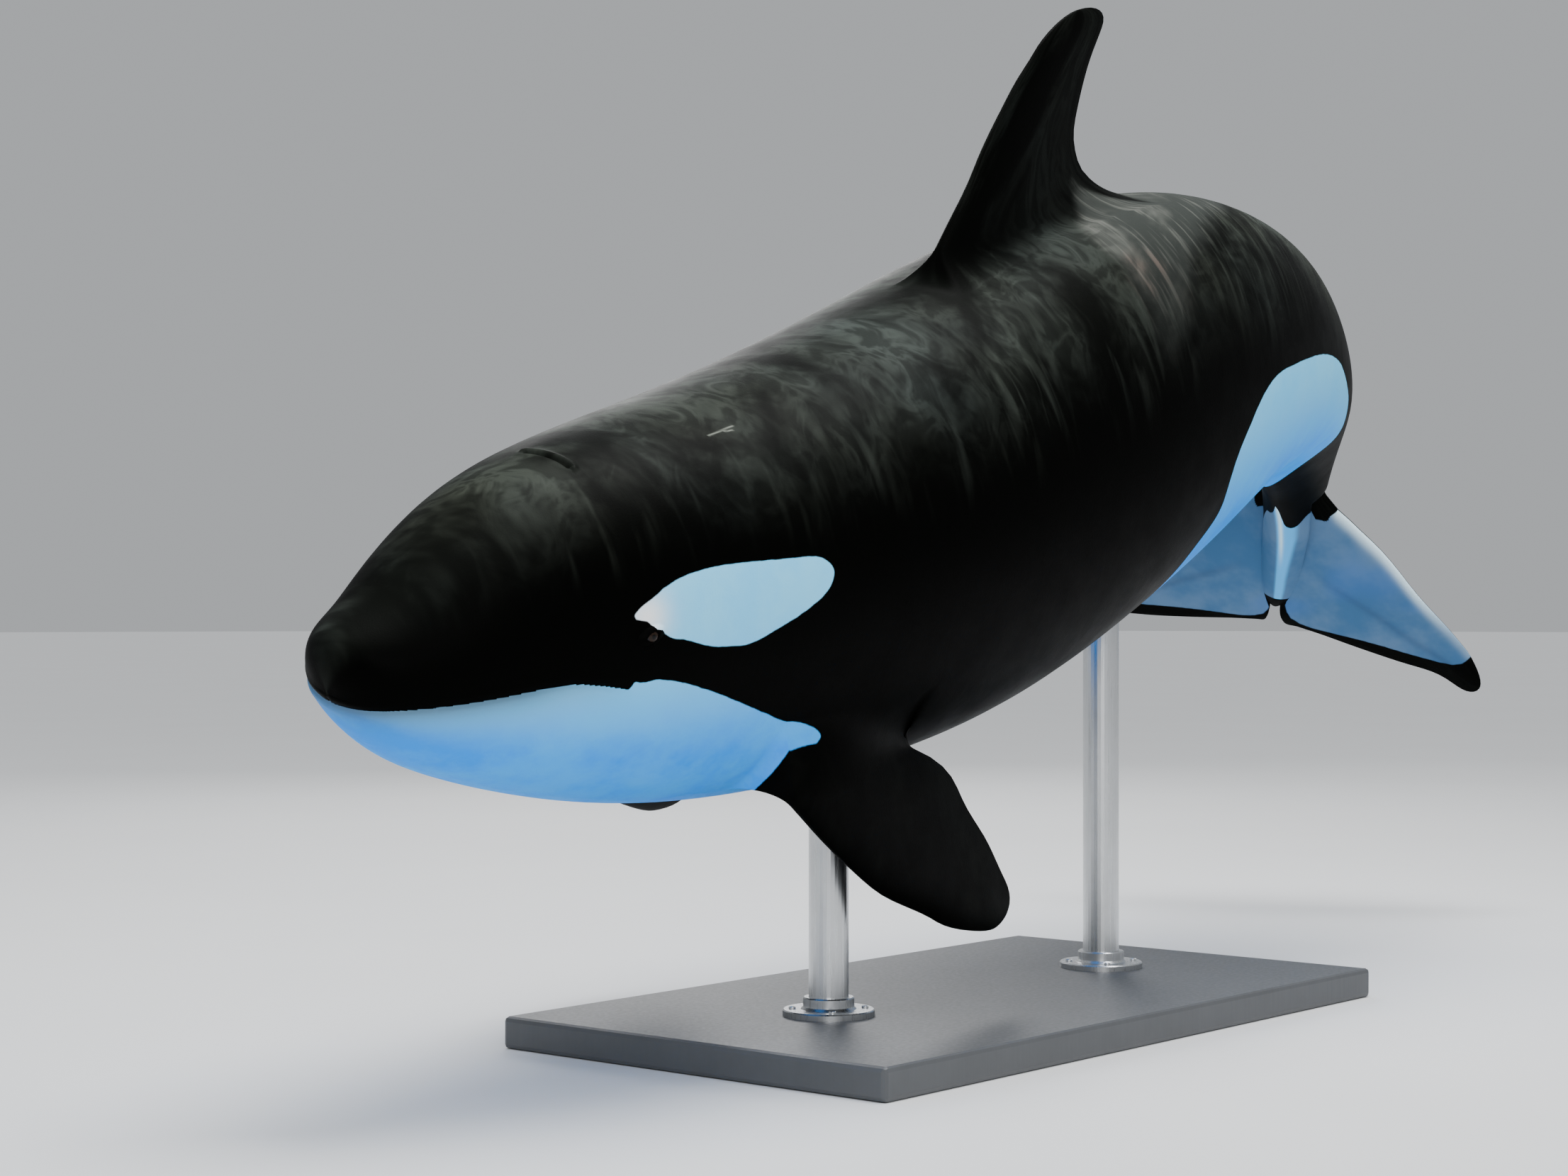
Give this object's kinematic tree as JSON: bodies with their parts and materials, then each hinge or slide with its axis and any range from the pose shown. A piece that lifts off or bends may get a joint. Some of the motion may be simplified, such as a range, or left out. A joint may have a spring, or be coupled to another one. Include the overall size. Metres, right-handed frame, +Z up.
{
  "type": "orca",
  "caption": "Life-size orca in mid swim, black with white patches, on a low flat stand with short rods.",
  "frame": {"origin": "middle of the underside of the stand's base", "axes": "+Z up; the animal swims towards -X with its left side towards -Y"},
  "size_m": [5.3482, 1.9944, 2.6672],
  "materials": {
    "skin_head": "wet satin black skin with a white patch behind the eye",
    "skin_body": "wet satin black skin with white underside and flank patches",
    "skin_pale": "wet satin white skin",
    "eye": "dark, glossy and opaque",
    "stand_base": "satin dark grey",
    "stand_rod": "brushed"
  },
  "bodies": {
    "root": {"head": "skin_head", "lower_jaw": "skin_pale", "chest": "skin_body", "trunk": "skin_body", "tail_stock": "skin_body", "fluke_left": "skin_body", "fluke_right": "skin_body", "dorsal_fin": "skin_body", "flipper_left": "skin_body", "flipper_right": "skin_body", "eye_left": "eye", "eye_right": "eye", "stand_base": "stand_base", "stand_rod_front": "stand_rod", "stand_rod_rear": "stand_rod"}
  },
  "joints": []
}
